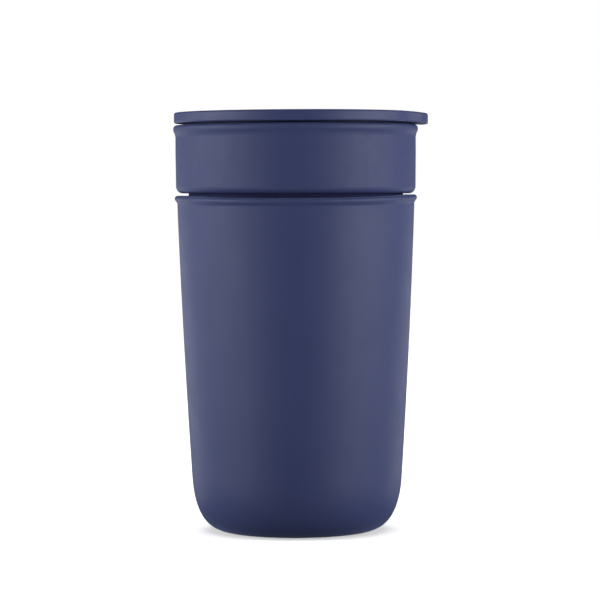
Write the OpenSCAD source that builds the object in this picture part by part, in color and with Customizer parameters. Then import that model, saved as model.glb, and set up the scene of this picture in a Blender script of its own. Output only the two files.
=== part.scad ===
// Lidded travel tumbler: a ceramic cup in a silicone sleeve, a press-fit drinking
// collar over the cup's neck, and a press-fit disc lid that is pulled off by its tab.
// The axis is Z, the base stands on Z = 0 and the pull tab points towards +X.

/* [Sleeve] */
// Height of the sleeve's top rim
sleeve_h = 121.8; // [115:0.1:123]
// Outer diameter of the sleeve's wall, carried up to the top rim
sleeve_top_d = 86.44; // [85:0.02:87]
// Outer diameter of the sleeve's wall, carried down to the base
sleeve_base_d = 73.88; // [70:0.02:78]
// How far the wall bows outwards at mid-height
wall_belly = 0.54; // [0:0.02:1]
// Thickness of the sleeve's wall
sleeve_t = 2; // [1.5:0.1:2.5]
// Thickness of the sleeve under the cup
sleeve_floor_t = 2.4; // [1.8:0.1:4]
// Width of the rounded corner at the base
corner_w = 13.0; // [10:0.1:18]
// Height of the rounded corner at the base
corner_h = 21.0; // [14:0.1:26]
// Squareness of that corner: 2 is an ellipse, more is squarer
corner_n = 2.6; // [2:0.1:3.2]
// Thickness of the sleeve's inward lip over the cup's shoulder
sleeve_lip_t = 1.6; // [1:0.1:2.2]
// Height of the bead around the sleeve's top
sleeve_bead_h = 3; // [2.5:0.1:5]
// How far that bead stands out from the wall
sleeve_bead_out = 0.95; // [0.4:0.05:1.2]

/* [Cup] */
// Thickness of the cup's wall
cup_t = 4.4; // [3.5:0.1:4.6]
// Thickness of the cup's floor
cup_floor_t = 5.6; // [4:0.1:8]
// Outer diameter of the neck that the collar goes over
neck_d = 78; // [77:0.1:78.2]
// Inner diameter of the cup's mouth
mouth_d = 70.8; // [70.6:0.1:71]
// Height of the cup's rim above the base
rim_z = 136; // [133:0.1:136.5]

/* [Collar] */
// Gap between the sleeve and the collar
collar_gap = 1; // [0.4:0.1:1.5]
// Outer diameter of the collar's wall at its bottom
collar_bottom_d = 87.1; // [86:0.1:88]
// Outer diameter of the collar's wall below its lip
collar_top_d = 87.36; // [86:0.02:88]
// Outer diameter of the drinking lip
lip_d = 88.9; // [88:0.1:90]
// Height of the lip's crest above the base
lip_z = 147.6; // [147:0.05:149]
// Wall thickness of the collar's outer shell
collar_t = 2.3; // [1.8:0.1:2.4]
// Inner diameter of the mouth that the lid plugs
bore_d = 79.2; // [78:0.1:79.4]
// Inner diameter of the throat that goes down into the cup
throat_d = 65; // [63:0.1:65.4]

/* [Lid] */
// Diameter of the lid's disc
lid_d = 88.4; // [87:0.1:90]
// Thickness of the lid's disc
lid_t = 3.9; // [3.9:0.05:5]
// Rounding of the disc's top edge
lid_top_edge_r = 0.75; // [0.4:0.05:1.2]
// Rounding of the disc's bottom edge
lid_bottom_edge_r = 0.6; // [0.4:0.05:1.5]
// How far the pull tab stands out from the disc
tab_out = 3.9; // [3:0.1:12]
// Half of the angle over which the tab has its full reach
tab_half_angle = 11; // [5:1:20]
// Angle over which each side of the tab sweeps back into the disc
tab_sweep_angle = 17; // [10:1:25]
// How far the lid's plug reaches down into the collar
plug_depth = 8.6; // [7.5:0.1:9]

/* [Hidden] */
$fn = 180;
eps = 0.01;

navy = [0.17, 0.19, 0.33];
navy_plastic = [0.19, 0.21, 0.35];
dark_navy = [0.10, 0.11, 0.20];
glaze = [0.13, 0.14, 0.20];

// Curves are cut into this many straight stretches
corner_steps = 14;
wall_steps = 10;
blend_steps = 6;
tab_steps = 24;

// Cup
cup_corner_w = corner_w - 1.6;
cup_corner_h = corner_h - 2.2;
hollow_corner_w = corner_w - 3.4;
hollow_corner_h = corner_h - 6;
shoulder_z = sleeve_h - sleeve_lip_t;
shoulder_edge_r = 1;
hollow_top_z = shoulder_z - 10;
rim_r = (neck_d - mouth_d) / 4;

// Collar
fit_gap = 0.3;
collar_z = sleeve_h + collar_gap;
collar_edge_r = 2.5;
lip_r = 1.25;
lip_face_h = 0.9;
lip_cove_h = 2.5;
flange_t = 2.2;
shell_in_r = collar_top_d / 2 - collar_t;
rest_gap = 0.15;
deck_z = rim_z + rest_gap;
deck_t = 1.9;
liner_flange_t = 1;
liner_flange_w = 0.6;
liner_top_z = lip_z - 0.4;
skirt_t = 1.9;
skirt_z = collar_z + 1.7;

// Finned seals: a thin sleeve with fins, held in a groove, with a running fit
seal_fit = 0.08;
seal_t = 0.6;
fin_t = 0.8;
collar_seal_h = 7;
collar_seal_z = skirt_z + 2.6;
collar_groove_depth = 0.9;
lid_seal_h = 5.6;

// Lid: a shoulder under the disc rests on the liner's top
core_shoulder_h = 0.95;
lid_z = liner_top_z + core_shoulder_h + rest_gap;
lid_top_z = lid_z + lid_t;
cover_top_t = 1.4;
cover_lip_t = 1;
cover_side_t = 2;
cover_lip_w = 1.4;
core_r = lid_d / 2 - cover_side_t;
core_z = lid_z + cover_lip_t;
core_t = lid_t - cover_top_t - cover_lip_t;
plug_r = bore_d / 2 - 1.6;
plug_t = 1.8;
plug_flange_t = 1.1;
plug_flange_out = 0.9;
rib_count = 8;
rib_t = 1.4;
rib_h = 1.6;
hub_r = 6;
edge_steps = 4;
tab_root_in = 12;

// Radius of the sleeve's outer wall at height z, before the corner is rounded
function wall_r(z) =
    let (u = z / sleeve_h)
    (sleeve_base_d + (sleeve_top_d - sleeve_base_d) * u) / 2 + 4 * wall_belly * u * (1 - u);

// Outline of a vessel that follows the wall, from its floor up to top_z
function vessel(inset, floor_z, w, h, top_z) = concat(
    [for (i = [0 : corner_steps])
        let (t = 90 - 90 * i / corner_steps)
        let (z = floor_z + h * (1 - pow(sin(t), 2 / corner_n)))
        [wall_r(z) - inset - w * (1 - pow(cos(t), 2 / corner_n)), z]],
    [for (i = [1 : wall_steps])
        let (z = floor_z + h + (top_z - floor_z - h) * i / wall_steps)
        [wall_r(z) - inset, z]]
);

// Arc about [cr, cz] from angle a0 to a1
function arc(cr, cz, r, a0, a1, steps = blend_steps) =
    [for (i = [0 : steps])
        let (a = a0 + (a1 - a0) * i / steps)
        [cr + r * cos(a), cz + r * sin(a)]];

// Soft rise in radius from [r0, z0] to [r1, z1], level at both ends
function rise(r0, z0, r1, z1, steps = blend_steps) =
    [for (i = [0 : steps])
        let (s = (1 - cos(180 * i / steps)) / 2)
        [r0 + (r1 - r0) * s, z0 + (z1 - z0) * i / steps]];

// Hollow curve out from [r0, z0], where it is level with the wall, to [r1, z1]
function cove(r0, z0, r1, z1, steps = blend_steps) =
    [for (i = [0 : steps])
        let (u = i / steps)
        [r0 + (r1 - r0) * u * u, z0 + (z1 - z0) * u]];

function reversed(points) = [for (i = [len(points) - 1 : -1 : 0]) points[i]];

module turned(points) {
    rotate_extrude() polygon(points);
}

module ring(r_in, r_out, z0, z1) {
    translate([0, 0, z0])
        difference() {
            cylinder(r = r_out, h = z1 - z0);
            translate([0, 0, -1]) cylinder(r = r_in, h = z1 - z0 + 2);
        }
}

// A thin silicone ring from z0 up, with fins whose tips reach tip_r
module finned_seal(r_in, tip_r, z0, h, fins) {
    ring(r_in, r_in + seal_t, z0, z0 + h);
    for (i = [0 : fins - 1]) {
        fin_z = z0 + fin_t + (h - 2 * fin_t) * i / (fins - 1);
        turned([
            [r_in + seal_t - eps, fin_z - fin_t],
            [tip_r - fin_t / 2, fin_z - fin_t / 4],
            [tip_r, fin_z + fin_t / 4],
            [tip_r, fin_z + fin_t / 2],
            [tip_r - fin_t / 2, fin_z + fin_t / 2],
            [r_in + seal_t - eps, fin_z + fin_t / 4]
        ]);
    }
}

// Outline that the cup and the sleeve share, from the floor's edge to the shoulder
function cup_outside() = concat(
    vessel(sleeve_t, sleeve_floor_t, cup_corner_w, cup_corner_h, shoulder_z - shoulder_edge_r),
    arc(
        wall_r(shoulder_z) - sleeve_t - shoulder_edge_r, shoulder_z - shoulder_edge_r,
        shoulder_edge_r, 0, 90
    )
);

module ceramic_cup() {
    inside = vessel(
        sleeve_t + cup_t, sleeve_floor_t + cup_floor_t, hollow_corner_w, hollow_corner_h,
        hollow_top_z
    );
    color(glaze)
        turned(concat(
            [[0, sleeve_floor_t]],
            cup_outside(),
            [[neck_d / 2, shoulder_z]],
            arc((neck_d + mouth_d) / 4, rim_z - rim_r, rim_r, 0, 180, 2 * blend_steps),
            reversed(rise(
                wall_r(hollow_top_z) - sleeve_t - cup_t, hollow_top_z,
                mouth_d / 2, shoulder_z
            )),
            reversed(inside),
            [[0, sleeve_floor_t + cup_floor_t]]
        ));
}

module silicone_sleeve() {
    bead_z = sleeve_h - sleeve_bead_h;
    bead_r = 1.55;
    bead_max_r = wall_r(bead_z) + sleeve_bead_out;
    outside = vessel(0, 0, corner_w, corner_h, bead_z);
    lip_in_r = neck_d / 2 + 0.2;
    color(navy)
        turned(concat(
            [[0, 0]],
            outside,
            rise(wall_r(bead_z), bead_z, bead_max_r, sleeve_h - bead_r),
            arc(bead_max_r - bead_r, sleeve_h - bead_r, bead_r, 0, 90),
            arc(lip_in_r + 0.5, sleeve_h - 0.5, 0.5, 90, 180),
            [[lip_in_r, shoulder_z]],
            reversed(cup_outside()),
            [[0, sleeve_floor_t]]
        ));
}

module collar_seal() {
    r_in = throat_d / 2 + skirt_t - collar_groove_depth + seal_fit;
    color(dark_navy)
        finned_seal(r_in, mouth_d / 2 - 2 * seal_fit, collar_seal_z, collar_seal_h, 3);
}

module collar_shell() {
    bottom_r = collar_bottom_d / 2;
    face_z = lip_z - lip_r - lip_face_h;
    color(navy_plastic)
        turned(concat(
            [[neck_d / 2 + fit_gap, collar_z]],
            arc(bottom_r - collar_edge_r, collar_z + collar_edge_r, collar_edge_r, -90, 0),
            cove(collar_top_d / 2, face_z - lip_cove_h, lip_d / 2, face_z),
            arc(lip_d / 2 - lip_r, lip_z - lip_r, lip_r, 0, 90),
            [
                [shell_in_r + liner_flange_w + 0.3, lip_z - 0.15],
                [shell_in_r + liner_flange_w, liner_top_z],
                [shell_in_r + liner_flange_w, liner_top_z - liner_flange_t],
                [shell_in_r, liner_top_z - liner_flange_t],
                [shell_in_r, collar_z + flange_t],
                [neck_d / 2 + fit_gap, collar_z + flange_t]
            ]
        ));
}

module collar_liner() {
    skirt_r = throat_d / 2 + skirt_t;
    groove_r = skirt_r - collar_groove_depth;
    groove_top = collar_seal_z + collar_seal_h + seal_fit;
    groove_bottom = collar_seal_z - seal_fit;
    color(navy_plastic)
        turned([
            [throat_d / 2 + 0.5, skirt_z],
            [skirt_r, skirt_z],
            [skirt_r, groove_bottom],
            [groove_r, groove_bottom],
            [groove_r, groove_top],
            [skirt_r, groove_top],
            [skirt_r, deck_z],
            [shell_in_r, deck_z],
            [shell_in_r, liner_top_z - liner_flange_t],
            [shell_in_r + liner_flange_w, liner_top_z - liner_flange_t],
            [shell_in_r + liner_flange_w, liner_top_z],
            [bore_d / 2 + 0.6, liner_top_z],
            [bore_d / 2, liner_top_z - 0.6],
            [bore_d / 2, deck_z + deck_t + 0.8],
            [bore_d / 2 - 0.8, deck_z + deck_t],
            [throat_d / 2 + 1, deck_z + deck_t],
            [throat_d / 2, deck_z + deck_t - 1],
            [throat_d / 2, skirt_z + 0.5]
        ]);
}

module lid_seal() {
    color(dark_navy)
        finned_seal(
            plug_r + seal_fit, bore_d / 2 - seal_fit,
            lid_z - plug_depth + plug_flange_t + seal_fit, lid_seal_h, 2
        );
}

module lid_core() {
    plug_z = lid_z - plug_depth;
    plug_in_r = plug_r - plug_t;
    flange_r = plug_r + plug_flange_out;
    shoulder_r = core_r - cover_lip_w;
    upper_flange_z = plug_z + plug_flange_t + lid_seal_h + 2 * seal_fit;
    color(navy_plastic) {
        turned([
            [0, core_z],
            [plug_in_r, core_z],
            [plug_in_r, plug_z + 0.4],
            [plug_in_r + 0.4, plug_z],
            [flange_r - 0.4, plug_z],
            [flange_r, plug_z + 0.4],
            [flange_r, plug_z + plug_flange_t],
            [plug_r, plug_z + plug_flange_t],
            [plug_r, upper_flange_z],
            [flange_r, upper_flange_z],
            [flange_r, lid_z - core_shoulder_h],
            [shoulder_r, lid_z - core_shoulder_h],
            [shoulder_r, core_z],
            [core_r, core_z],
            [core_r, core_z + core_t],
            [0, core_z + core_t]
        ]);
        translate([0, 0, core_z - rib_h]) cylinder(r = hub_r, h = rib_h + eps);
        for (i = [0 : rib_count - 1])
            rotate(360 * i / rib_count)
                translate([0, -rib_t / 2, core_z - rib_h])
                    cube([plug_in_r + eps, rib_t, rib_h + eps]);
    }
}

// Radius of the lid's outline at an angle from the tab's middle
function lid_outline_r(angle) =
    let (s = min(1, max(0, (abs(angle) - tab_half_angle) / tab_sweep_angle)))
    lid_d / 2 + tab_out * (1 + cos(180 * s)) / 2;

// One level slice of the tab, drawn in from its outline by inset
module tab_slice(inset, z0, z1) {
    reach = tab_half_angle + tab_sweep_angle;
    translate([0, 0, z0])
        linear_extrude(z1 - z0)
            polygon(concat(
                [for (i = [0 : tab_steps])
                    let (a = reach * (2 * i / tab_steps - 1), r = lid_outline_r(a) - inset)
                    [r * cos(a), r * sin(a)]],
                [for (side = [1, -1])
                    (lid_d / 2 - tab_root_in) * [cos(reach), side * sin(reach)]]
            ));
}

module lid_cover() {
    outer_r = lid_d / 2;
    low_edge_z = lid_z + lid_bottom_edge_r;
    high_edge_z = lid_top_z - lid_top_edge_r;
    color(navy)
        difference() {
            union() {
                turned(concat(
                    [[0, lid_z]],
                    arc(outer_r - lid_bottom_edge_r, low_edge_z, lid_bottom_edge_r, -90, 0),
                    arc(outer_r - lid_top_edge_r, high_edge_z, lid_top_edge_r, 0, 90),
                    [[0, lid_top_z]]
                ));
                tab_slice(0, low_edge_z, high_edge_z);
                for (i = [0 : edge_steps - 1]) {
                    low = sin(90 * i / edge_steps);
                    high = sin(90 * (i + 1) / edge_steps);
                    inset = 1 - cos(90 * (i + 0.5) / edge_steps);
                    tab_slice(
                        inset * lid_top_edge_r,
                        high_edge_z + low * lid_top_edge_r, high_edge_z + high * lid_top_edge_r
                    );
                    tab_slice(
                        inset * lid_bottom_edge_r,
                        low_edge_z - high * lid_bottom_edge_r, low_edge_z - low * lid_bottom_edge_r
                    );
                }
            }
            translate([0, 0, core_z]) cylinder(r = core_r, h = core_t);
            translate([0, 0, lid_z - 1]) cylinder(r = core_r - cover_lip_w, h = cover_lip_t + 2);
        }
}

ceramic_cup();
silicone_sleeve();
collar_seal();
collar_shell();
collar_liner();
lid_seal();
lid_core();
lid_cover();
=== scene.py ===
"""Looks of the lidded travel tumbler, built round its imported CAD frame.

Everything round is turned from an outline in millimetres; the outlines follow the CAD nodes that
they stand for. Z is up, the pull tab points to +X and the camera looks along +Y.
"""
import math

import bpy
from mathutils import Matrix, Vector


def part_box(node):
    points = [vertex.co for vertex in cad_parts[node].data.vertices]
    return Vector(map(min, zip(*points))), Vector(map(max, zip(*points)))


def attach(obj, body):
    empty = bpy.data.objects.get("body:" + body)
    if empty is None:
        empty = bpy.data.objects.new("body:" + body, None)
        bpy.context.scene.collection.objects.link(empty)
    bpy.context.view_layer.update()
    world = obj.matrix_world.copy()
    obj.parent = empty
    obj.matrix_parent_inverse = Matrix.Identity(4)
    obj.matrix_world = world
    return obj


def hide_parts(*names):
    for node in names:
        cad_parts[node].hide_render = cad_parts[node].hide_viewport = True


MM = 0.001
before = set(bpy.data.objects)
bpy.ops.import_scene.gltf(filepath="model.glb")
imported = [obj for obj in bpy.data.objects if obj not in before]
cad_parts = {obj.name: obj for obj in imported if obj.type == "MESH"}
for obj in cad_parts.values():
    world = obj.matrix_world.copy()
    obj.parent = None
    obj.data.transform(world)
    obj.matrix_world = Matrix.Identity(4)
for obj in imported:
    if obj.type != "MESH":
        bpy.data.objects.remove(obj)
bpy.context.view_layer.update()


def top_mm(node):
    """Height of a CAD node's highest point, in millimetres."""
    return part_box(node)[1].z / MM


def radius_mm(node):
    """Half of a CAD node's depth, in millimetres."""
    low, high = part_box(node)
    return (high.y - low.y) / 2 / MM


# ---------------------------------------------------------------- sizes, in millimetres
SLEEVE_H = top_mm("silicone_sleeve")
SLEEVE_TOP_R = 43.22
SLEEVE_BASE_R = 36.94
WALL_BELLY = 0.54
SLEEVE_T = 2.0
SLEEVE_FLOOR_T = 2.4
CORNER_W = 13.0
CORNER_H = 21.0
CORNER_N = 2.6
INNER_CORNER_W = CORNER_W - 1.6
INNER_CORNER_H = CORNER_H - 2.2
BEAD_H = 3.0
BEAD_OUT = 0.95
BEAD_R = 1.1
SHOULDER_Z = SLEEVE_H - 1.6
SHOULDER_EDGE_R = 1.0
SLEEVE_LIP_R = 39.2
SLEEVE_LIP_EDGE_R = 0.5
DIMPLE_R = 1.5
DIMPLE_H = 0.25
DIMPLE_SLOPE_W = 0.3

# Heights of the soft rim's waves, and the stretch of wall over which they grow
RIM_SADDLE = 0.52
RIM_CREST = 0.08
RIM_DROP = 0.20
RIM_TILT = 0.06
RIM_RIPPLE = 0.02
RIM_RIPPLE_TURN = 0.6
RIM_WAVES_H = 12
RIM_WAVES_GROWTH = 10

CUP_RIM_Z = top_mm("ceramic_cup")
NECK_R = 39.0
GLAZED_RIM_H = 5.0

COLLAR_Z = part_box("collar_shell")[0].z / MM
COLLAR_FLANGE_R = 39.3
COLLAR_FLANGE_T = 2.2
COLLAR_BOTTOM_R = 43.55
COLLAR_TOP_R = 43.68
COLLAR_EDGE_R = 2.5
COLLAR_PLUMB_H = 6
COLLAR_CHAMFER = 0.3
COLLAR_TILT = 0.16
COLLAR_TILT_H = 9
COLLAR_TILT_FADE = 8
LIP_R = 44.45
LIP_Z = top_mm("collar_shell")
LIP_ROUND = 1.25
LIP_FACE_H = 0.9
LIP_COVE_H = 2.5
SHELL_IN_R = COLLAR_TOP_R - 2.3
LINER_STEP = 0.6
LINER_STEP_H = 1
LINER_TOP_Z = top_mm("collar_liner")
# The step's soft top edge: distances out from the step and down from the lip
LINER_STEP_EDGE = ((0.4, 0.05), (0.1, 0.2))

LID_R = radius_mm("lid_cover")
LID_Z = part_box("lid_cover")[0].z / MM
LID_TOP_Z = top_mm("lid_cover")
LID_TOP_EDGE_R = 0.75
LID_BOTTOM_EDGE_R = 0.6
TAB_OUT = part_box("lid_cover")[1].x / MM - LID_R
TAB_HALF_ANGLE = math.radians(11)
TAB_SWEEP = math.radians(17)
TAB_DROOP = 0.6
TAB_DROOP_START = 35
TAB_DROOP_SPREAD = 1.2
LID_SAG = 0.06
LID_TOP_RINGS = (3, 9, 16, 23, 30, 36, 40)
CORE_R = radius_mm("lid_core")
CORE_Z = LID_Z + 1.0
CORE_TOP_Z = top_mm("lid_core")
COVER_LIP_W = 1.4
POCKET_CHAMFER = 0.2

# The meshes: points around, steps along a curve, the least crease in degrees, and how near two
# points, or a point and the axis, count as one
SEGMENTS = 320
LID_SEGMENTS = 640
WALL_STEPS = 40
BLEND_STEPS = 14
COVE_STEPS = 16
CREASE_ANGLE = 40
CAD_CREASE_ANGLE = 30
SAME_POINT = 1e-4
ON_AXIS = 1e-6

# Heights of the floor, of the unseen glowing card of painted shade under it, and of the point that
# the lights face
FLOOR_Z = -0.02
CARD_Z = -1.0
LIGHT_AIM_Z = 80


# ---------------------------------------------------------------- outlines
def wall_r(z):
    """Radius of the sleeve's wall at height z, before its base corner is rounded."""
    u = z / SLEEVE_H
    return SLEEVE_BASE_R + (SLEEVE_TOP_R - SLEEVE_BASE_R) * u + 4 * WALL_BELLY * u * (1 - u)


def vessel(inset, floor_z, w, h, top_z):
    """Outline that follows the wall from its floor's edge up to top_z."""
    points = []
    for i in range(WALL_STEPS + 1):
        t = math.radians(90 - 90 * i / WALL_STEPS)
        z = floor_z + h * (1 - abs(math.sin(t)) ** (2 / CORNER_N))
        cut = w * (1 - abs(math.cos(t)) ** (2 / CORNER_N))
        points.append((wall_r(z) - inset - cut, z))
    for i in range(1, WALL_STEPS + 1):
        z = floor_z + h + (top_z - floor_z - h) * i / WALL_STEPS
        points.append((wall_r(z) - inset, z))
    return points


def arc(cr, cz, r, a0, a1, steps=12):
    """Points on an arc about (cr, cz), angles in degrees."""
    points = []
    for i in range(steps + 1):
        a = math.radians(a0 + (a1 - a0) * i / steps)
        points.append((cr + r * math.cos(a), cz + r * math.sin(a)))
    return points


def rise(r0, z0, r1, z1):
    """Soft change of radius from (r0, z0) to (r1, z1), level at both ends."""
    points = []
    for i in range(BLEND_STEPS + 1):
        s = (1 - math.cos(math.pi * i / BLEND_STEPS)) / 2
        points.append((r0 + (r1 - r0) * s, z0 + (z1 - z0) * i / BLEND_STEPS))
    return points


def cove(r0, z0, r1, z1):
    """Hollow curve out from (r0, z0), where it is level with the wall, to (r1, z1)."""
    points = []
    for i in range(COVE_STEPS + 1):
        u = i / COVE_STEPS
        points.append((r0 + (r1 - r0) * u * u, z0 + (z1 - z0) * u))
    return points


def without_repeats(points):
    """The outline without points that lie on the one before."""
    kept = [points[0]]
    for p in points[1:]:
        if math.dist(p, kept[-1]) > SAME_POINT:
            kept.append(p)
    return kept


# ---------------------------------------------------------------- mesh making
def mesh_object(name, vertices, faces):
    """A smooth-shaded mesh object, in metres from millimetres, with creases kept sharp."""
    mesh = bpy.data.meshes.new(name)
    mesh.from_pydata([Vector(v) * MM for v in vertices], [], faces)
    mesh.validate()
    mesh.polygons.foreach_set("use_smooth", [True] * len(mesh.polygons))
    mesh.set_sharp_from_angle(angle=math.radians(CREASE_ANGLE))
    piece = bpy.data.objects.new(name, mesh)
    bpy.context.scene.collection.objects.link(piece)
    return piece


def turned(name, outline, lift):
    """Turns a closed outline of (radius, height) points about Z.

    Points on the axis become one vertex. lift(height, angle) says how far up a point is moved.
    """
    outline = without_repeats(outline)
    vertices, rings = [], []
    for r, z in outline:
        if r < ON_AXIS:
            rings.append([len(vertices)] * SEGMENTS)
            vertices.append((0, 0, z))
            continue
        ring = []
        for i in range(SEGMENTS):
            a = 2 * math.pi * i / SEGMENTS
            ring.append(len(vertices))
            vertices.append((r * math.cos(a), r * math.sin(a), z + lift(z, a)))
        rings.append(ring)
    ends_on_axis = outline[0][0] < ON_AXIS and outline[-1][0] < ON_AXIS
    pairs = list(zip(rings, rings[1:]))
    if not ends_on_axis:
        pairs.append((rings[-1], rings[0]))
    faces = []
    for low, high in pairs:
        for i in range(SEGMENTS):
            j = (i + 1) % SEGMENTS
            corners = [low[i], low[j], high[j], high[i]]
            face = [c for k, c in enumerate(corners) if c != corners[k - 1]]
            if len(face) > 2:
                faces.append(face)
    return mesh_object(name, vertices, faces)


# ---------------------------------------------------------------- node helpers
def new_node(tree, kind, **settings):
    """Adds a node to a node tree and gives it its settings."""
    node = tree.nodes.new(kind)
    for key, value in settings.items():
        setattr(node, key, value)
    return node


class Nodes:
    """Short hand for building one material's node tree."""

    def __init__(self, name):
        self.material = bpy.data.materials.new(name)
        self.material.use_nodes = True
        self.tree = self.material.node_tree
        self.shader = self.tree.nodes["Principled BSDF"]
        self.place = self.new("ShaderNodeTexCoord").outputs["Object"]

    def new(self, kind, **settings):
        return new_node(self.tree, kind, **settings)

    def link(self, source, target):
        self.tree.links.new(source, target)

    def noise(self, scale, detail, roughness):
        """Noise over the object's own coordinates; scale is in cells per metre."""
        node = self.new("ShaderNodeTexNoise")
        node.inputs["Scale"].default_value = scale
        node.inputs["Detail"].default_value = detail
        node.inputs["Roughness"].default_value = roughness
        self.link(self.place, node.inputs["Vector"])
        return node.outputs["Fac"]

    def spots(self, scale):
        """Distance to the nearest of many scattered points; scale is in points per metre."""
        node = self.new("ShaderNodeTexVoronoi")
        node.inputs["Scale"].default_value = scale
        self.link(self.place, node.inputs["Vector"])
        return node.outputs["Distance"]

    def span(self, value, low, high, to_low=0.0, to_high=1.0):
        """Maps value from low..high to to_low..to_high, held at both ends."""
        node = self.new("ShaderNodeMapRange")
        node.inputs["From Min"].default_value = low
        node.inputs["From Max"].default_value = high
        node.inputs["To Min"].default_value = to_low
        node.inputs["To Max"].default_value = to_high
        self.link(value, node.inputs["Value"])
        return node.outputs["Result"]

    def math(self, operation, a, b):
        """One sum on two values, each a number or another node's output."""
        node = self.new("ShaderNodeMath", operation=operation)
        for socket, value in zip(node.inputs, (a, b)):
            if isinstance(value, (int, float)):
                socket.default_value = value
            else:
                self.link(value, socket)
        return node.outputs["Value"]

    def mix(self, factor, a, b):
        """Colour a where factor is 0, colour b where it is 1."""
        node = self.new("ShaderNodeMix", data_type="RGBA")
        self.link(factor, node.inputs["Factor"])
        for socket, value in zip((node.inputs[6], node.inputs[7]), (a, b)):
            if isinstance(value, tuple):
                socket.default_value = (*value, 1)
            else:
                self.link(value, socket)
        return node.outputs[2]

    def height(self):
        """Height above the base, in metres."""
        node = self.new("ShaderNodeSeparateXYZ")
        self.link(self.place, node.inputs["Vector"])
        return node.outputs["Z"]

    def radius(self):
        """Distance from the cup's axis, in metres."""
        flat = self.new("ShaderNodeVectorMath", operation="MULTIPLY")
        flat.inputs[1].default_value = (1, 1, 0)
        self.link(self.place, flat.inputs[0])
        length = self.new("ShaderNodeVectorMath", operation="LENGTH")
        self.link(flat.outputs["Vector"], length.inputs[0])
        return length.outputs["Value"]

    def bump(self, *layers):
        """Stacks (height output, depth in metres, strength) layers into the shader's normal."""
        last = None
        for height, depth, strength in layers:
            node = self.new("ShaderNodeBump")
            node.inputs["Distance"].default_value = depth
            node.inputs["Strength"].default_value = strength
            self.link(height, node.inputs["Height"])
            if last:
                self.link(last, node.inputs["Normal"])
            last = node.outputs["Normal"]
        self.link(last, self.shader.inputs["Normal"])

    def set(self, **values):
        """Sets the shader's own sockets; an underscore stands for a space in a socket's name."""
        for key, value in values.items():
            self.shader.inputs[key.replace("_", " ")].default_value = value


# ---------------------------------------------------------------- materials
NAVY = (0.0460, 0.0600, 0.1730)
NAVY_DEEP = (0.0424, 0.0556, 0.1655)
NAVY_DUSTY = (0.070, 0.086, 0.205)
# Width of a worn band's soft side, in millimetres, and how much paler a plastic's specks are
WEAR_FADE = 0.8
SPECK_GAIN = 1.5


def silicone(name, base=NAVY, deep=NAVY_DEEP, roughness=0.50, sheen=0.05, wear=()):
    """Matte moulded silicone: a soft, faintly mottled skin with a fine grain.

    wear lists (height, half width, least radius) bands, in millimetres, where handling has
    paled the skin.
    """
    n = Nodes(name)
    cloud = n.noise(38, 5, 0.55)
    colour = n.mix(n.span(cloud, 0.35, 0.65), deep, base)
    dust = n.span(n.noise(900, 3, 0.7), 0.60, 0.80, 0.0, 0.35)
    for height, half_width, least_r in wear:
        away = n.math("ABSOLUTE", n.math("SUBTRACT", n.height(), height * MM), 0)
        band = n.span(away, 0, half_width * MM, 1.0, 0.0)
        edge = n.span(n.radius(), least_r * MM, (least_r + WEAR_FADE) * MM)
        patchy = n.span(n.noise(220, 4, 0.6), 0.42, 0.70, 0.0, 0.6)
        worn = n.math("MULTIPLY", n.math("MULTIPLY", band, edge), patchy)
        dust = n.math("MAXIMUM", dust, worn)
    n.link(n.mix(dust, colour, NAVY_DUSTY), n.shader.inputs["Base Color"])
    rough = n.span(n.noise(120, 6, 0.6), 0.3, 0.7, roughness - 0.04, roughness + 0.05)
    n.link(rough, n.shader.inputs["Roughness"])
    n.bump(
        (n.noise(60, 2, 0.5), 0.00025, 0.10),
        (n.noise(2600, 3, 0.6), 0.00006, 0.30),
        (n.spots(3800), 0.00003, 0.20),
    )
    n.set(Specular_IOR_Level=0.5, IOR=1.42, Sheen_Weight=sheen, Sheen_Roughness=0.4)
    n.set(Sheen_Tint=(0.45, 0.58, 1.0, 1.0))
    return n.material


def matte_plastic(name, base, deep, roughness=0.58, specular=0.38):
    """Injection-moulded plastic with a fine spark-eroded grain."""
    n = Nodes(name)
    cloud = n.noise(25, 3, 0.5)
    colour = n.mix(n.span(cloud, 0.35, 0.65), deep, base)
    speck = n.span(n.noise(1800, 2, 0.6), 0.66, 0.80, 0.0, 0.25)
    pale = tuple(c * SPECK_GAIN for c in base)
    n.link(n.mix(speck, colour, pale), n.shader.inputs["Base Color"])
    rough = n.span(n.noise(300, 5, 0.6), 0.3, 0.7, roughness - 0.03, roughness + 0.05)
    n.link(rough, n.shader.inputs["Roughness"])
    n.bump(
        (n.noise(40, 2, 0.5), 0.0002, 0.06),
        (n.spots(4200), 0.00004, 0.35),
    )
    n.set(Specular_IOR_Level=specular, IOR=1.5)
    return n.material


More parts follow.
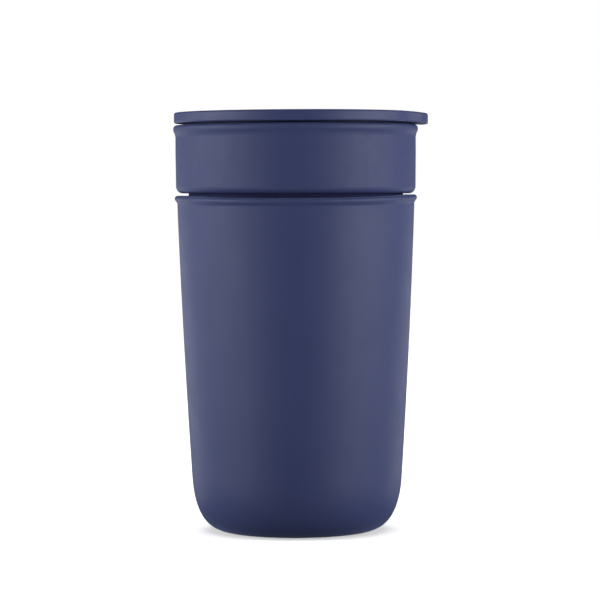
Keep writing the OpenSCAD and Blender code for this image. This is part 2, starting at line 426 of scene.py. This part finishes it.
def glaze(name):
    """Dark blue-grey stoneware glaze, a little uneven, with faint pale specks.

    The outside of the neck is matt dark navy up to a soft, wavering line under the rim. These dark
    colours are painted shade: as it stands assembled, the cup shows only in the narrow groove
    between the collar and the sleeve, and the glaze's dark grey and the neck's dark navy stand in
    for the shade that falls there.
    """
    n = Nodes(name)
    wander, softness = 0.0006, 0.0003  # of that line, in metres
    skin_start_r, skin_end_r = NECK_R - 1.2, NECK_R - 1.0
    cloud = n.noise(45, 5, 0.6)
    # Painted shade: the glaze's dark grey stands in for the shade in the groove between the collar
    # and the sleeve.
    colour = n.mix(n.span(cloud, 0.3, 0.7), (0.014, 0.016, 0.030), (0.024, 0.027, 0.046))
    specks = n.span(n.spots(420), 0.0, 0.10, 0.4, 0.0)
    glaze_shade_colour = n.mix(specks, colour, (0.09, 0.10, 0.13))
    line = n.math("ADD", n.height(), n.span(n.noise(160, 3, 0.5), 0.3, 0.7, -wander, wander))
    glaze_end = (CUP_RIM_Z - GLAZED_RIM_H) * MM
    below_line = n.span(line, glaze_end - softness, glaze_end + softness, 1.0, 0.0)
    outside = n.span(n.radius(), skin_start_r * MM, skin_end_r * MM)
    shaded_neck = n.math("MULTIPLY", below_line, outside)
    clay_grain = n.noise(2200, 4, 0.7)
    # Painted shade: the neck's dark navy below the glaze line stands in for the shade in that
    # groove.
    neck_shade_colour = n.mix(n.span(clay_grain, 0.35, 0.65), (0.019, 0.022, 0.078), (0.029, 0.033, 0.108))
    n.link(n.mix(shaded_neck, glaze_shade_colour, neck_shade_colour), n.shader.inputs["Base Color"])
    glossy = n.span(n.noise(90, 3, 0.5), 0.3, 0.7, 0.16, 0.26)
    n.link(n.math("MAXIMUM", glossy, shaded_neck), n.shader.inputs["Roughness"])
    n.bump(
        (n.noise(140, 2, 0.5), 0.0004, 0.12),
        (n.math("MULTIPLY", clay_grain, shaded_neck), 0.00008, 0.5),
    )
    n.set(Specular_IOR_Level=0.35, IOR=1.5)
    return n.material


def studio_floor(name):
    """Plain pale paper with the faintest tooth, clear from below so that it hides nothing."""
    n = Nodes(name)
    colour = n.mix(n.noise(6, 3, 0.5), (0.86, 0.86, 0.86), (0.88, 0.88, 0.88))
    n.link(colour, n.shader.inputs["Base Color"])
    n.bump((n.noise(900, 3, 0.6), 0.0001, 0.10))
    n.set(Roughness=0.9, Specular_IOR_Level=0.1)
    one_sided = n.new("ShaderNodeMixShader")
    n.link(n.new("ShaderNodeNewGeometry").outputs["Backfacing"], one_sided.inputs["Fac"])
    n.link(n.shader.outputs["BSDF"], one_sided.inputs[1])
    n.link(n.new("ShaderNodeBsdfTransparent").outputs["BSDF"], one_sided.inputs[2])
    n.link(one_sided.outputs["Shader"], n.tree.nodes["Material Output"].inputs["Surface"])
    return n.material


def paint(piece, material):
    """Gives every face of a piece one material."""
    piece.data.materials.clear()
    piece.data.materials.append(material)


sleeve_look = silicone(
    "sleeve_silicone", roughness=0.55, sheen=0.25, wear=((SLEEVE_H - 1.5, 1.6, 42.5),)
)
lid_look = silicone(
    "lid_silicone", roughness=0.52, wear=((LID_TOP_Z, 0.6, LID_R - 1.2), (LID_Z, 0.5, LID_R - 0.8))
)
seal_look = silicone("seal_silicone", (0.024, 0.027, 0.060), (0.020, 0.022, 0.050), roughness=0.38)
collar_look = matte_plastic("collar_plastic", (0.0448, 0.0586, 0.1700), (0.0418, 0.0548, 0.1640))
inner_look = matte_plastic("inner_plastic", (0.036, 0.047, 0.130), (0.032, 0.043, 0.120), 0.50)
# Painted shade: the lid core is near black so that what shows of it through the gap under the disc
# reads as the shade there.
core_shade_look = matte_plastic("core_shade_plastic", (0.016, 0.019, 0.050), (0.014, 0.017, 0.045), 0.60, 0.2)
glaze_look = glaze("cup_glaze")


# ---------------------------------------------------------------- the sleeve
def ease(u):
    """Smooth step from 0 to 1 as u goes from 0 to 1, held at both ends."""
    u = max(0.0, min(1.0, u))
    return u * u * (3 - 2 * u)


def sleeve_lift(z, angle):
    """The soft rim lies in a shallow saddle: lower at the front and back than at the sides."""
    saddle = RIM_SADDLE * math.cos(2 * angle) + RIM_CREST * math.cos(4 * angle) - RIM_DROP
    ripple = RIM_RIPPLE * math.sin(3 * angle + RIM_RIPPLE_TURN)
    uneven = ripple + RIM_TILT * math.cos(angle)
    return ease((z - (SLEEVE_H - RIM_WAVES_H)) / RIM_WAVES_GROWTH) * (saddle + uneven)


def make_sleeve():
    """From the base's dimple up the outside, over the bead, and down inside to the axis."""
    bead_z = SLEEVE_H - BEAD_H
    bead_max_r = wall_r(bead_z) + BEAD_OUT
    outside = vessel(0, 0, CORNER_W, CORNER_H, bead_z)
    under_lip_z = SHOULDER_Z - SHOULDER_EDGE_R
    inside = vessel(SLEEVE_T, SLEEVE_FLOOR_T, INNER_CORNER_W, INNER_CORNER_H, under_lip_z)
    inside += arc(
        wall_r(SHOULDER_Z) - SLEEVE_T - SHOULDER_EDGE_R, under_lip_z, SHOULDER_EDGE_R, 0, 90, 8
    )
    lip_centre_r = SLEEVE_LIP_R + SLEEVE_LIP_EDGE_R
    lip = arc(lip_centre_r, SLEEVE_H - SLEEVE_LIP_EDGE_R, SLEEVE_LIP_EDGE_R, 90, 180, 6)
    dimple = [(0, DIMPLE_H), (DIMPLE_R - DIMPLE_SLOPE_W, DIMPLE_H), (DIMPLE_R, 0)]
    outline = (
        dimple
        + outside
        + rise(wall_r(bead_z), bead_z, bead_max_r, SLEEVE_H - BEAD_R)
        + arc(bead_max_r - BEAD_R, SLEEVE_H - BEAD_R, BEAD_R, 0, 90, 16)
        + lip
        + [(SLEEVE_LIP_R, SHOULDER_Z)]
        + inside[::-1]
        + [(0, SLEEVE_FLOOR_T)]
    )
    piece = turned("sleeve", outline, lift=sleeve_lift)
    paint(piece, sleeve_look)
    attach(piece, "cup")
    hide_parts("silicone_sleeve")


# ---------------------------------------------------------------- the collar's band
def collar_lift(z, angle):
    """The moulded lower edge is a touch out of level."""
    share = ease((COLLAR_Z + COLLAR_TILT_H - z) / COLLAR_TILT_FADE)
    return -COLLAR_TILT * math.cos(angle) * share


def make_collar_band():
    """From the flange under the band up the outside, over the drinking lip and down inside."""
    face_z = LIP_Z - LIP_ROUND - LIP_FACE_H
    edge_z = COLLAR_Z + COLLAR_EDGE_R
    lip_top_r = LIP_R - LIP_ROUND
    step_r = SHELL_IN_R + LINER_STEP
    outline = (
        [(COLLAR_FLANGE_R, COLLAR_Z + COLLAR_CHAMFER)]
        + [(COLLAR_FLANGE_R + COLLAR_CHAMFER, COLLAR_Z)]
        + arc(COLLAR_BOTTOM_R - COLLAR_EDGE_R, edge_z, COLLAR_EDGE_R, -90, 0, 20)
        + [(COLLAR_TOP_R, face_z - LIP_COVE_H - COLLAR_PLUMB_H)]
        + cove(COLLAR_TOP_R, face_z - LIP_COVE_H, LIP_R, face_z)
        + arc(lip_top_r, LIP_Z - LIP_ROUND, LIP_ROUND, 0, 90, 20)
        + [(step_r + out, LIP_Z - down) for out, down in LINER_STEP_EDGE]
        + [
            (step_r, LINER_TOP_Z),
            (step_r, LINER_TOP_Z - LINER_STEP_H),
            (SHELL_IN_R, LINER_TOP_Z - LINER_STEP_H),
            (SHELL_IN_R, COLLAR_Z + COLLAR_FLANGE_T),
            (COLLAR_FLANGE_R, COLLAR_Z + COLLAR_FLANGE_T),
        ]
    )
    piece = turned("collar_band", outline, lift=collar_lift)
    paint(piece, collar_look)
    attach(piece, "collar")
    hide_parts("collar_shell")


# ---------------------------------------------------------------- the lid's silicone cover
def lid_outline_r(angle):
    """Radius of the lid's outline at an angle from the middle of the tab."""
    away = abs((angle + math.pi) % (2 * math.pi) - math.pi)
    s = min(1.0, max(0.0, (away - TAB_HALF_ANGLE) / TAB_SWEEP))
    return LID_R + TAB_OUT * (1 + math.cos(math.pi * s)) / 2


def lid_outline_point(angle, inset):
    """A point on the lid's outline, drawn in square to the outline by inset."""
    step = 1e-3
    r = lid_outline_r(angle)
    slope = (lid_outline_r(angle + step) - lid_outline_r(angle - step)) / (2 * step)
    out = Vector((r * math.cos(angle) + slope * math.sin(angle),
                  r * math.sin(angle) - slope * math.cos(angle)))
    out.normalize()
    return r * math.cos(angle) - inset * out.x, r * math.sin(angle) - inset * out.y


def tab_droop(x, y):
    """How far the soft tab hangs below the disc's level at a point on the lid."""
    r = math.hypot(x, y)
    away = abs(math.atan2(y, x))
    width = ease(1 - (away - TAB_HALF_ANGLE) / (TAB_SWEEP * TAB_DROOP_SPREAD))
    reach = max(0.0, (r - TAB_DROOP_START) / (LID_R + TAB_OUT - TAB_DROOP_START))
    return TAB_DROOP * width * reach * reach


def make_lid_cover():
    """Rings of points: over the top, round the edge and in under the disc to the core's pocket."""
    angles = [2 * math.pi * i / LID_SEGMENTS for i in range(LID_SEGMENTS)]
    vertices, rings = [], []

    def add_ring(points):
        rings.append(list(range(len(vertices), len(vertices) + LID_SEGMENTS)))
        vertices.extend((x, y, z - tab_droop(x, y)) for x, y, z in points)

    def add_outline_ring(inset, z):
        add_ring([(*lid_outline_point(a, inset), z) for a in angles])

    def add_round_ring(r, z):
        add_ring([(r * math.cos(a), r * math.sin(a), z) for a in angles])

    for r in LID_TOP_RINGS:
        add_round_ring(r, LID_TOP_Z - LID_SAG * (1 - (r / LID_R) ** 2))
    for cr, cz in arc(0, LID_TOP_Z - LID_TOP_EDGE_R, LID_TOP_EDGE_R, 90, 0, 10):
        add_outline_ring(LID_TOP_EDGE_R - cr, cz)
    for cr, cz in arc(0, LID_Z + LID_BOTTOM_EDGE_R, LID_BOTTOM_EDGE_R, 0, -90, 12):
        add_outline_ring(LID_BOTTOM_EDGE_R - cr, cz)
    pocket_r = CORE_R - COVER_LIP_W
    add_round_ring(pocket_r + POCKET_CHAMFER, LID_Z)
    add_round_ring(pocket_r, LID_Z + POCKET_CHAMFER)
    add_round_ring(pocket_r, CORE_Z)
    add_round_ring(CORE_R, CORE_Z)
    add_round_ring(CORE_R, CORE_TOP_Z)
    faces = []
    for outer, inner in zip(rings, rings[1:]):
        for i in range(LID_SEGMENTS):
            j = (i + 1) % LID_SEGMENTS
            faces.append((outer[i], inner[i], inner[j], outer[j]))
    top_centre = len(vertices)
    vertices.append((0, 0, LID_TOP_Z - LID_SAG))
    pocket_centre = len(vertices)
    vertices.append((0, 0, CORE_TOP_Z))
    for i in range(LID_SEGMENTS):
        j = (i + 1) % LID_SEGMENTS
        faces.append((top_centre, rings[0][i], rings[0][j]))
        faces.append((pocket_centre, rings[-1][j], rings[-1][i]))
    piece = mesh_object("lid_disc", vertices, faces)
    paint(piece, lid_look)
    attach(piece, "lid")
    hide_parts("lid_cover")


make_sleeve()
make_collar_band()
make_lid_cover()

# ---------------------------------------------------------------- CAD nodes with a better look
for node, look in (
    ("ceramic_cup", glaze_look),
    ("collar_liner", inner_look),
    ("lid_core", core_shade_look),
    ("collar_seal", seal_look),
    ("lid_seal", seal_look),
):
    cad_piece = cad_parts[node]
    paint(cad_piece, look)
    cad_piece.data.polygons.foreach_set("use_smooth", [True] * len(cad_piece.data.polygons))
    cad_piece.data.set_sharp_from_angle(angle=math.radians(CAD_CREASE_ANGLE))


# ---------------------------------------------------------------- floor, light and camera
def make_floor():
    """A broad pale sheet under the tumbler."""
    reach = 6000
    steps = 24
    vertices = []
    for i in range(steps + 1):
        for j in range(steps + 1):
            x, y = (reach * (2 * k / steps - 1) for k in (i, j))
            vertices.append((x, y, FLOOR_Z))
    faces = []
    for i in range(steps):
        for j in range(steps):
            a = i * (steps + 1) + j
            faces.append((a, a + steps + 1, a + steps + 2, a + 1))
    floor = mesh_object("floor", vertices, faces)
    paint(floor, studio_floor("pale_floor"))
    floor.visible_diffuse = False
    floor.visible_glossy = False
    floor.visible_shadow = False


def softbox(name, azimuth, distance, height, width, tall, power):
    """A rectangular soft light, in metres and watts, turned to face the tumbler.

    Azimuth is in degrees from the camera's side, + to the right.
    """
    light = bpy.data.lights.new(name, "AREA")
    light.shape = "RECTANGLE"
    light.size = width
    light.size_y = tall
    light.energy = power
    lamp = bpy.data.objects.new(name, light)
    a = math.radians(azimuth)
    lamp.location = (distance * math.sin(a), -distance * math.cos(a), height)
    aim = Vector((0, 0, LIGHT_AIM_Z * MM)) - lamp.location
    lamp.rotation_euler = aim.to_track_quat("-Z", "Z").to_euler()
    bpy.context.scene.collection.objects.link(lamp)


def floor_light(name, strength, shadowed):
    """A broad light from above that falls on the floor alone, so that the floor stays pale.

    Where shadowed is true the tumbler casts a shadow in it.
    """
    light = bpy.data.lights.new(name, "SUN")
    light.energy = strength
    light.angle = math.radians(70)
    lamp = bpy.data.objects.new(name, light)
    bpy.context.scene.collection.objects.link(lamp)
    only_floor = bpy.data.collections.new(name + "_reach")
    only_floor.objects.link(bpy.data.objects["floor"])
    lamp.light_linking.receiver_collection = only_floor
    if not shadowed:
        lamp.light_linking.blocker_collection = only_floor


def table_shade_glow(half_width, half_depth, strength):
    """Unseen oval card under the base, glowing dimly: painted shade and glow that stand in for the
    shaded table round the base, which gives back less light than the lit table beyond.
    """
    rim = [(half_width * x, half_depth * y, CARD_Z) for x, y in arc(0, 0, 1, 0, 360, 96)[:-1]]
    card = mesh_object("table_shade_card", rim, [list(range(len(rim)))])
    n = Nodes("table_shade_glow")
    n.set(Base_Color=(0, 0, 0, 1), Specular_IOR_Level=0)
    n.set(Emission_Color=(1, 1, 1, 1), Emission_Strength=strength)
    paint(card, n.material)
    card.visible_camera = False


def make_world(below, behind):
    """Surroundings that glow a little from below, and from behind the object up to its height.

    The camera itself sees plain white behind the object.
    """
    world = bpy.data.worlds.new("studio")
    bpy.context.scene.world = world
    world.use_nodes = True
    tree = world.node_tree
    tree.nodes.clear()

    def new(kind, **settings):
        return new_node(tree, kind, **settings)

    way = new("ShaderNodeSeparateXYZ")
    tree.links.new(new("ShaderNodeTexCoord").outputs["Generated"], way.inputs["Vector"])

    def ramp(axis, start, end, strength):
        """Grows from 0 to strength as the direction's axis value goes from start to end."""
        node = new("ShaderNodeMapRange")
        node.inputs["From Min"].default_value = start
        node.inputs["From Max"].default_value = end
        node.inputs["To Max"].default_value = strength
        tree.links.new(way.outputs[axis], node.inputs["Value"])
        return node.outputs["Result"]

    def join(operation, a, b):
        node = new("ShaderNodeMath", operation=operation)
        tree.links.new(a, node.inputs[0])
        tree.links.new(b, node.inputs[1])
        return node.outputs["Value"]

    back_glow = join("MULTIPLY", ramp("Y", 0.3, 0.8, behind), ramp("Z", 0.3, 0.05, 1))
    lit = new("ShaderNodeBackground")
    glow = join("ADD", ramp("Z", -0.1, -0.35, below), back_glow)
    tree.links.new(glow, lit.inputs["Color"])
    seen = new("ShaderNodeBackground")
    seen.inputs["Color"].default_value = (1, 1, 1, 1)
    pick = new("ShaderNodeMixShader")
    tree.links.new(new("ShaderNodeLightPath").outputs["Is Camera Ray"], pick.inputs["Fac"])
    tree.links.new(lit.outputs["Background"], pick.inputs[1])
    tree.links.new(seen.outputs["Background"], pick.inputs[2])
    tree.links.new(pick.outputs["Shader"], new("ShaderNodeOutputWorld").inputs["Surface"])


def make_camera():
    """Eye level a little below the lid, far back with a long lens."""
    eye_distance = 1.020
    eye_height = 0.1242
    eye_right = 0.00135
    pitch_down = math.radians(2.26)
    roll = math.radians(-0.25)
    data = bpy.data.cameras.new("camera")
    data.sensor_width = 36
    data.lens = 168
    camera = bpy.data.objects.new("camera", data)
    camera.matrix_world = (
        Matrix.Translation((eye_right, -eye_distance, eye_height))
        @ Matrix.Rotation(math.pi / 2 - pitch_down, 4, "X")
        @ Matrix.Rotation(roll, 4, "Z")
    )
    bpy.context.scene.collection.objects.link(camera)
    bpy.context.scene.camera = camera


make_floor()
make_world(below=0.318, behind=0.12)
# Painted shade: a dimly glowing card under the base stands in for the shaded table there.
table_shade_glow(half_width=80, half_depth=115, strength=0.075)
for name, azimuth, distance, height, width, tall, power in (
    ("left_strip", -88, 1.0, 0.25, 0.40, 1.20, 3.6),
    ("left_key", -72, 1.0, 0.25, 0.40, 1.20, 4.9),
    ("left_fill", -55, 1.0, 0.25, 0.40, 1.20, 1.1),
    ("right_key", 72, 1.0, 0.25, 0.40, 1.20, 9.5),
    ("left_low_rim", -135, 0.45, 0.0, 0.30, 0.12, 0.23),
    ("right_low_rim", 135, 0.45, 0.0, 0.30, 0.12, 0.19),
    ("front_top", 0, 0.8, 1.0, 1.0, 0.5, 1.3),
    ("back_top", 180, 0.8, 1.0, 1.0, 0.5, 1.66),
):
    softbox(name, azimuth, distance, height, width, tall, power)
floor_light("floor_wash", 3.4, shadowed=False)
floor_light("floor_key", 0.5, shadowed=True)
make_camera()
bpy.context.scene.view_settings.view_transform = "Standard"
